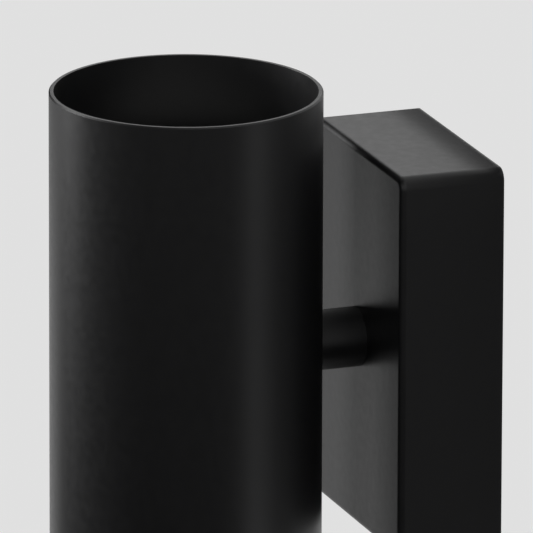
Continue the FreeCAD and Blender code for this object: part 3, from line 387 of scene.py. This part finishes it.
def draw_out(rings, centre, axis, steps=64, closed=False):
    """Draw a round piece out of one ring along an axis, step by step. Each ring is its radius and
    its distance from the centre. A closed section ends on the ring that it starts from."""
    centre, axis = Vector(centre), Vector(axis)
    radius, along = rings[0]
    begin(
        "circle", vertices=steps, radius=radius, location=centre + axis * along,
        rotation=facing(axis), fill_type="NOTHING" if closed else "NGON",
    )
    if not closed:
        bpy.ops.mesh.select_mode(type="EDGE")
        bpy.ops.mesh.select_all(action="SELECT")
        bpy.ops.mesh.select_mode(type="FACE")
    for wider, further in rings[1:] + (rings[:1] if closed else []):
        step = {"value": axis * (further - along), "orient_type": "GLOBAL"}
        bpy.ops.mesh.extrude_region_move(TRANSFORM_OT_translate=step)
        bpy.ops.transform.resize(
            value=(wider / radius,) * 3, center_override=centre + axis * further
        )
        radius, along = wider, further
    return close_mesh()


def apply(piece, kind, **settings):
    """Add a modifier, set it and apply it."""
    choose(piece)
    modifier = piece.modifiers.new(kind.lower(), kind)
    for name, value in settings.items():
        setattr(modifier, name, value)
    bpy.ops.object.modifier_apply(modifier=modifier.name)


def round_edges(piece, width):
    """Round every sharp edge."""
    apply(piece, "BEVEL", width=width, segments=2, limit_method="ANGLE",
          angle_limit=SHARP_ABOVE, use_clamp_overlap=True)


def cut(piece, cutter, operation="DIFFERENCE"):
    """Cut one piece with another, which is used up."""
    apply(piece, "BOOLEAN", object=cutter, operation=operation, solver="EXACT")
    bpy.data.objects.remove(cutter)


def join(pieces):
    """Make several pieces one."""
    choose(*pieces)
    bpy.ops.object.join()
    return pieces[0]


def put_in(piece, name, node, smooth=30):
    """Finish a piece and let it stand for a piece of the frame, with that one's finish."""
    choose(piece)
    bpy.ops.object.transform_apply(location=True, rotation=True, scale=True)
    bpy.ops.object.shade_smooth_by_angle(angle=math.radians(smooth))
    apply(piece, "WEIGHTED_NORMAL", keep_sharp=True)
    piece.name = name
    piece.data.materials.clear()
    piece.data.materials.append(FINISHES[SLOTS[node]])
    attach(piece, body_of(NODES[node])[0])
    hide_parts(node)


def copy_of(node):
    """A loose copy of a frame piece, with its triangles merged into flat faces."""
    piece = bpy.data.objects.new(node + "_copy", NODES[node].data.copy())
    bpy.context.scene.collection.objects.link(piece)
    choose(piece)
    bpy.ops.mesh.customdata_custom_splitnormals_clear()
    bpy.ops.object.mode_set(mode="EDIT")
    bpy.ops.mesh.select_all(action="SELECT")
    bpy.ops.mesh.remove_doubles(threshold=MERGE)
    bpy.ops.mesh.dissolve_limited(angle_limit=FLAT_WITHIN)
    bpy.ops.object.mode_set(mode="OBJECT")
    return piece


# ---- Tube ----

TUBE_AXIS_Y = -96 * MM
TUBE_RADIUS = 45 * MM
TUBE_BORE = 43.4 * MM
TUBE_HALF = 90 * MM
ROD_HOLE = 5.1 * MM
RIM_CHAMFER = 0.45 * MM
MOUTH_ROUND = 0.12 * MM
# Rings near the hole keep its cut faces short, and the drill reaches through the back wall alone
NEAR_HOLE = 12 * MM
DRILL_REACH = (40 * MM, 60 * MM)
TUBE_STEPS = 160
# The middle of a rim edge lies a little inside the rim's circle, by less than this
RIM_SLACK = 0.05 * MM


def is_rim(middle, radius):
    """Whether a point in the tube's own mesh lies on a rim edge of that radius."""
    height = middle.z + bpy.context.object.location.z
    from_axis = math.hypot(middle.x, middle.y)
    return abs(abs(height) - TUBE_HALF) < LEVEL_WITHIN and abs(from_axis - radius) < RIM_SLACK


def make_tube():
    """Rolled tube with a chamfer round each rim, and a hole for the rod at the back."""
    heights = (-TUBE_HALF, -NEAR_HOLE, NEAR_HOLE, TUBE_HALF)
    rings = [(TUBE_RADIUS, height) for height in heights]
    rings += [(TUBE_BORE, height) for height in reversed(heights)]
    tube = draw_out(rings, (0, TUBE_AXIS_Y, 0), UP, steps=TUBE_STEPS, closed=True)
    bpy.ops.object.mode_set(mode="EDIT")
    for radius, size, segments in ((TUBE_RADIUS, RIM_CHAMFER, 1), (TUBE_BORE, MOUTH_ROUND, 2)):
        pick("EDGE", lambda middle, run: is_rim(middle, radius))
        bpy.ops.mesh.bevel(offset=size, segments=segments)
    bpy.ops.object.mode_set(mode="OBJECT")
    cut(tube, draw_out([(ROD_HOLE, reach) for reach in DRILL_REACH], (0, 0, 0), OUT))
    put_in(tube, "rolled_tube", "tube")


# ---- Lamps ----

LAMP_SEAT = 16.75 * MM
LAMP_STEPS = 96
# The outlines are in millimetres, each point as its radius and its distance from the seat
SHELL_RINGS = (
    (9.0, 0), (9.7, 0.3), (10, 1), (10, 8), (10.25, 9.6), (11.0, 11.4), (12.2, 13.6), (21.9, 31),
    (23.6, 34), (24.6, 36.6), (25, 39.2), (25, 45.2), (24.8, 45.8), (24.2, 46), (23.1, 46),
    (22.7, 45.85), (22.5, 45.4), (22.5, 42.5),
)
# The vents are in the shell's cone: one face in each four is left between them as a rib
VENT_BAND = (13.6, 31)
VENT_PITCH = 4
VENT_INSET = 0.35 * MM
VENT_DEPTH = 0.9 * MM
LENS_EDGE = ((22.5, 42.5), (22.5, 44.4), (22.2, 44.85), (21.7, 45.0), (21.2, 44.7), (20.9, 44.1))
# The lens has a groove at every second millimetre of its radius, and rises towards its middle
RIDGED_RADIUS = 20
RIDGE_HEIGHT = 44.5
GROOVE_DEPTH = 0.45
LENS_RISE = 0.02
LENS_RIDGES = tuple(
    (radius, RIDGE_HEIGHT - GROOVE_DEPTH * (radius % 2) + (RIDGED_RADIUS - radius) * LENS_RISE)
    for radius in range(RIDGED_RADIUS, 0, -1)
)
PIN_RINGS = (
    (1.5, 0), (1.5, 3.4), (2.2, 3.4), (2.4, 3.5), (2.5, 3.75), (2.5, 5.65), (2.4, 5.9),
    (2.15, 6.0),
)
PIN_SPREAD = 5 * MM
PIN_STEPS = 24


def in_metres(rings):
    """The rings of an outline in metres."""
    return [(radius * MM, along * MM) for radius, along in rings]


def make_lamp(side, up):
    """A reflector lamp: vented moulded shell, ridged frosted lens and two headed pins."""
    axis = UP * up
    seat = Vector((0, TUBE_AXIS_Y, 0)) + axis * LAMP_SEAT
    shell = draw_out(in_metres(SHELL_RINGS), seat, axis, steps=LAMP_STEPS)
    bpy.ops.object.mode_set(mode="EDIT")
    low, high = (height * MM for height in VENT_BAND)

    def in_a_vent(middle, normal):
        from_seat = shell.matrix_world @ middle - seat
        place = math.atan2(from_seat.y, from_seat.x) / math.tau * LAMP_STEPS
        return low < from_seat.dot(axis) < high and int(place + LAMP_STEPS) % VENT_PITCH > 0

    pick("FACE", in_a_vent)
    bpy.ops.mesh.inset(thickness=VENT_INSET, depth=-VENT_DEPTH)
    bpy.ops.object.mode_set(mode="OBJECT")
    put_in(shell, side + "_lamp_shell", side + "_lamp_body")
    lens = draw_out(in_metres(LENS_EDGE + LENS_RIDGES), seat, axis, steps=LAMP_STEPS)
    put_in(lens, side + "_lamp_diffuser", side + "_lamp_lens", smooth=50)
    pins = [draw_out(in_metres(PIN_RINGS), seat + Vector((place, 0, 0)), -axis, steps=PIN_STEPS)
            for place in (-PIN_SPREAD, PIN_SPREAD)]
    put_in(join(pins), side + "_lamp_contact_pins", side + "_lamp_pins")


# ---- Nuts ----

# A nut's face is a ring a little smaller than its flats. From there its corners are turned off,
# over a height that is this share of how far they stand out past the flats
FACE_SHARE = 0.98
CORNER_SLOPE = 0.6
# The bore's countersink, and the share of its depth by which its cutter starts outside the nut
SINK = 0.5 * MM
SINK_PAST = 0.2
BORE_STEPS = 48
HEXAGON_SPARE = 2 * MM

# The large nuts lie along the rod, at distances from the wall. The small ones lie before and behind
# the tube's axis, at depths below its middle
LARGE_NUTS = (("box_nut", 29.4 * MM, 33.4 * MM), ("tube_nut", 56.3 * MM, 60.3 * MM))
LARGE_FLATS = 14 * MM
LARGE_BORE = 5.05 * MM
SMALL_NUTS = (-11.8 * MM, 11.8 * MM)
SMALL_LOW, SMALL_HIGH = 13.95 * MM, 16.35 * MM
SMALL_FLATS = 5.5 * MM
SMALL_BORE = 1.55 * MM


def make_nut(flats, low, high, centre, axis, bore):
    """A hexagon nut with turned corners and a countersunk bore of a given radius."""
    centre = Vector(centre)
    corner = flats / math.sqrt(3)
    face = flats / 2 * FACE_SHARE
    slope = (corner - flats / 2) * CORNER_SLOPE
    turned = draw_out(
        [(face, low), (corner, low + slope), (corner, high - slope), (face, high)], centre, axis,
    )
    begin("cylinder", vertices=6, radius=corner, depth=high - low + HEXAGON_SPARE,
          location=centre + axis * (low + high) / 2, rotation=facing(axis))
    bpy.ops.object.mode_set(mode="OBJECT")
    cut(turned, bpy.context.object, "INTERSECT")
    mouth = bore + SINK * (1 + SINK_PAST)
    past = SINK * SINK_PAST
    cut(turned, draw_out(
        [(mouth, low - past), (bore, low + SINK), (bore, high - SINK), (mouth, high + past)],
        centre, axis, steps=BORE_STEPS,
    ))
    return turned


def make_nuts():
    """The two large nuts on the rod, and the two small ones on the lampholder screws."""
    for node, low, high in LARGE_NUTS:
        put_in(make_nut(LARGE_FLATS, low, high, (0, 0, 0), OUT, LARGE_BORE), "faced_" + node, node)
    pair = [make_nut(SMALL_FLATS, SMALL_LOW, SMALL_HIGH, (0, TUBE_AXIS_Y + place, 0), -UP,
                     SMALL_BORE) for place in SMALL_NUTS]
    put_in(join(pair), "faced_lampholder_nuts", "lampholder_nuts")


# ---- Rod ----

ROD_ENDS = (27.4 * MM, 62.3 * MM)
ROD_RADIUS = 5 * MM
ROD_BORE = 4 * MM
BORE_PAST = 2 * MM
THREAD_PITCH = 1 * MM
THREAD_DEPTH = 0.55 * MM
THREAD_STEPS = 32
# Turns that are wound past each end, to be cut off
SPARE_TURNS = 2


def edited_points():
    """Copies of the points of the mesh that is being edited."""
    bpy.ops.object.mode_set(mode="OBJECT")
    points = [vertex.co.copy() for vertex in bpy.context.object.data.vertices]
    bpy.ops.object.mode_set(mode="EDIT")
    return points


def make_rod():
    """Hollow rod: one tooth of the thread is wound along it, cut square at both ends, bored."""
    near, far = ROD_ENDS
    sharp_depth = THREAD_PITCH * math.sqrt(3) / 2
    begin("circle", vertices=3, radius=THREAD_PITCH / math.sqrt(3), fill_type="NOTHING")
    bpy.ops.transform.resize(value=(1, THREAD_DEPTH / sharp_depth, 1), center_override=(0, 0, 0))
    bpy.ops.transform.rotate(value=-math.pi / 2, orient_axis="Z", center_override=(0, 0, 0))
    tip = max(point.x for point in edited_points())
    start = -far - SPARE_TURNS * THREAD_PITCH
    bpy.ops.transform.translate(value=(ROD_RADIUS - tip, start, 0))
    pick("EDGE", lambda middle, run: abs(run.x) < LEVEL_WITHIN)
    bpy.ops.mesh.delete(type="EDGE")
    bpy.ops.object.mode_set(mode="OBJECT")
    rod = bpy.context.object
    turns = math.ceil((far - near) / THREAD_PITCH) + 2 * SPARE_TURNS
    apply(rod, "SCREW", axis="Y", screw_offset=THREAD_PITCH, iterations=turns,
          steps=THREAD_STEPS, render_steps=THREAD_STEPS, use_merge_vertices=True,
          merge_threshold=MERGE)
    bpy.ops.object.mode_set(mode="EDIT")
    for place, outwards in ((-near, 1), (-far, -1)):
        bpy.ops.mesh.select_all(action="SELECT")
        bpy.ops.mesh.bisect(plane_co=(0, place, 0), plane_no=(0, outwards, 0), use_fill=True,
                            clear_outer=True, threshold=MERGE)
    close_mesh()
    cut(rod, draw_out([(ROD_BORE, near - BORE_PAST), (ROD_BORE, far + BORE_PAST)], (0, 0, 0), OUT))
    put_in(rod, "threaded_hollow_rod", "threaded_rod", smooth=40)


# ---- Edges of the pressed, moulded and turned pieces ----

# Each frame piece, the new piece's name, and the width of its rounding in millimetres
SOFTENED = (
    ("wall_bracket", "pressed_bracket", 0.25),
    ("lampholder_strip", "pressed_strip", 0.25),
    ("box_washer", "turned_washer", 0.15),
    ("saddle_washer", "curved_saddle", 0.3),
    ("upper_lampholder", "upper_holder", 0.3),
    ("lower_lampholder", "lower_holder", 0.3),
    ("terminal_block", "moulded_block", 0.3),
    ("terminal_clamps", "drawn_clamps", 0.1),
    ("earth_tag", "pressed_tag", 0.1),
)


# The saw cuts that part the terminal block's poles, as places along X and one blade
POLE_GAPS = (17 * MM, 27 * MM)
BLADE_Y, BLADE_Z = -17.9 * MM, -36 * MM
BLADE_SIZE = (1.2 * MM, 7 * MM, 30 * MM)
BLADE_ROUND = 0.3 * MM


def part_the_poles(block):
    """Saw a slot between each two poles of the terminal block."""
    for place in POLE_GAPS:
        begin("cube", size=1, location=(place, BLADE_Y, BLADE_Z))
        bpy.ops.transform.resize(value=BLADE_SIZE)
        bpy.ops.mesh.bevel(offset=BLADE_ROUND, segments=2)
        bpy.ops.object.mode_set(mode="OBJECT")
        cut(block, bpy.context.object)


def soften_edges():
    """Put in copies of frame pieces with their sharp edges rounded."""
    for node, name, width in SOFTENED:
        piece = copy_of(node)
        if node == "terminal_block":
            part_the_poles(piece)
        round_edges(piece, width * MM)
        put_in(piece, name, node)


# ---- Studio ----

FLOOR_LEVEL = -6
FLOOR_SIZE = 120
PALE_GREY = "E3E3E3"
# The floor's own colour: under this world and key it renders as the world beyond it does
FLOOR_GREY = "FCFCFC"

# Dark cards round the light, as spans of azimuth (0 is straight in front, 90 to the right) and of
# height above the horizon, in degrees. Only reflections see them: they keep the black coat black.
CARD_DISTANCE = 1.5
CARD_STEPS = 120
DARK_SPANS = (
    (-60, 124, -60, -3),
    (-92, -57, -13, 45),
    (-40, 45, 35, 90),
    (-127, -92, -10, 8),
)
# Grey cards in the wall's plane beside and above the box, as left, right, low and high edges on the
# wall: painted shade that stands for the wall's shadow there, which only reflections see
SHADED_STRIPS = ((0.0415, 0.15, -0.10, 0.13), (-0.10, 0.0415, 0.0655, 0.074))
STRIP_GREY = "767676"


def direction(azimuth, height):
    """Unit vector towards an azimuth and a height, both in degrees."""
    turn, rise = math.radians(azimuth), math.radians(height)
    level = math.cos(rise)
    return Vector((math.sin(turn) * level, -math.cos(turn) * level, math.sin(rise)))


def make_floor():
    """A wide, dull floor, so far down that a camera that looks up at the light is above it."""
    bpy.ops.mesh.primitive_plane_add(size=FLOOR_SIZE, location=(0, 0, FLOOR_LEVEL))
    floor = bpy.context.object
    floor.name = "floor"
    material, shader = new_material("pale_floor", roughness=0.9, specular_ior_level=0)[:2]
    shader.inputs["Base Color"].default_value = linear(FLOOR_GREY)
    floor.data.materials.append(material)


def make_world():
    """An even, pale surrounding."""
    world = bpy.data.worlds.new("pale_studio")
    world.use_nodes = True
    background = world.node_tree.nodes["Background"]
    background.inputs["Color"].default_value = linear(PALE_GREY)
    background.inputs["Strength"].default_value = 1.0
    bpy.context.scene.world = world


LAMP_DISTANCE = 1.3


def softbox(name, azimuth, height, width, tall, watts):
    """A rectangular lamp that faces the light from a direction."""
    lamp = bpy.data.lights.new(name, "AREA")
    lamp.shape = "RECTANGLE"
    lamp.size, lamp.size_y = width, tall
    lamp.energy = watts
    box = bpy.data.objects.new(name, lamp)
    bpy.context.scene.collection.objects.link(box)
    box.location = direction(azimuth, height) * LAMP_DISTANCE
    box.rotation_mode = "QUATERNION"
    box.rotation_quaternion = box.location.to_track_quat("Z", "Y")


def show_in_reflections_only(card, name, grey="000000"):
    """Make a stage card dull, and hide it from all but the gloss."""
    card.name = name
    material, shader = new_material(name, roughness=1, specular_ior_level=0)[:2]
    shader.inputs["Base Color"].default_value = linear(grey)
    card.data.materials.append(material)
    for ray in ("camera", "diffuse", "transmission", "volume_scatter", "shadow"):
        setattr(card, "visible_" + ray, False)


def is_dark(centre):
    """Whether a point round the light lies in one of the dark spans."""
    azimuth = math.degrees(math.atan2(centre.x, -centre.y))
    height = math.degrees(math.asin(centre.z / centre.length))
    return any(
        left < azimuth < right and low < height < high for left, right, low, high in DARK_SPANS
    )


def make_dark_cards():
    """Cut the cards out of one sphere round the light, and stand the strips round the box."""
    bpy.ops.object.select_all(action="DESELECT")
    bpy.ops.mesh.primitive_uv_sphere_add(
        segments=CARD_STEPS, ring_count=CARD_STEPS // 2, radius=CARD_DISTANCE
    )
    bpy.ops.object.mode_set(mode="EDIT")
    pick("FACE", lambda middle, normal: not is_dark(middle))
    bpy.ops.mesh.delete(type="FACE")
    bpy.ops.object.mode_set(mode="OBJECT")
    show_in_reflections_only(bpy.context.object, "dark_cards")
    for left, right, low, high in SHADED_STRIPS:
        bpy.ops.object.select_all(action="DESELECT")
        bpy.ops.mesh.primitive_plane_add(
            size=1, location=((left + right) / 2, 0, (low + high) / 2),
            rotation=(math.pi / 2, 0, 0),
        )
        bpy.ops.transform.resize(value=(right - left, 1, high - low))
        # The strip's grey is painted shade of the wall, seen only in reflections
        show_in_reflections_only(bpy.context.object, "shaded_strip", STRIP_GREY)


# ---- Camera ----

# Angles in degrees, the place in metres and the lens in millimetres
VIEW_AZIMUTH = 69.9813
VIEW_PITCH = 16.5581
VIEW_ROLL = 0.1718
CAMERA_PLACE = (3.5598, -1.3648, 1.1536)
CAMERA_LENS = 810.5
CLIP_END = 100


def make_camera():
    """A long lens from the right, a little in front and above."""
    camera = bpy.data.objects.new("camera", bpy.data.cameras.new("camera"))
    bpy.context.scene.collection.objects.link(camera)
    camera.data.lens = CAMERA_LENS
    camera.data.clip_end = CLIP_END
    back = direction(VIEW_AZIMUTH, VIEW_PITCH)
    camera.location = CAMERA_PLACE
    camera.rotation_mode = "QUATERNION"
    roll = Quaternion((0, 0, 1), math.radians(VIEW_ROLL))
    camera.rotation_quaternion = (-back).to_track_quat("-Z", "Y") @ roll
    bpy.context.scene.camera = camera


finish_nodes()
make_tube()
make_lamp("upper", 1)
make_lamp("lower", -1)
make_rod()
make_nuts()
soften_edges()
make_floor()
make_world()
softbox("key", azimuth=-37, height=16, width=0.41, tall=0.92, watts=20)
softbox("side", azimuth=130, height=-16, width=0.34, tall=0.8, watts=0.7)
softbox("rear", azimuth=-110, height=22, width=0.7, tall=0.18, watts=0.32)
make_dark_cards()
make_camera()
bpy.context.scene.view_settings.view_transform = "Standard"
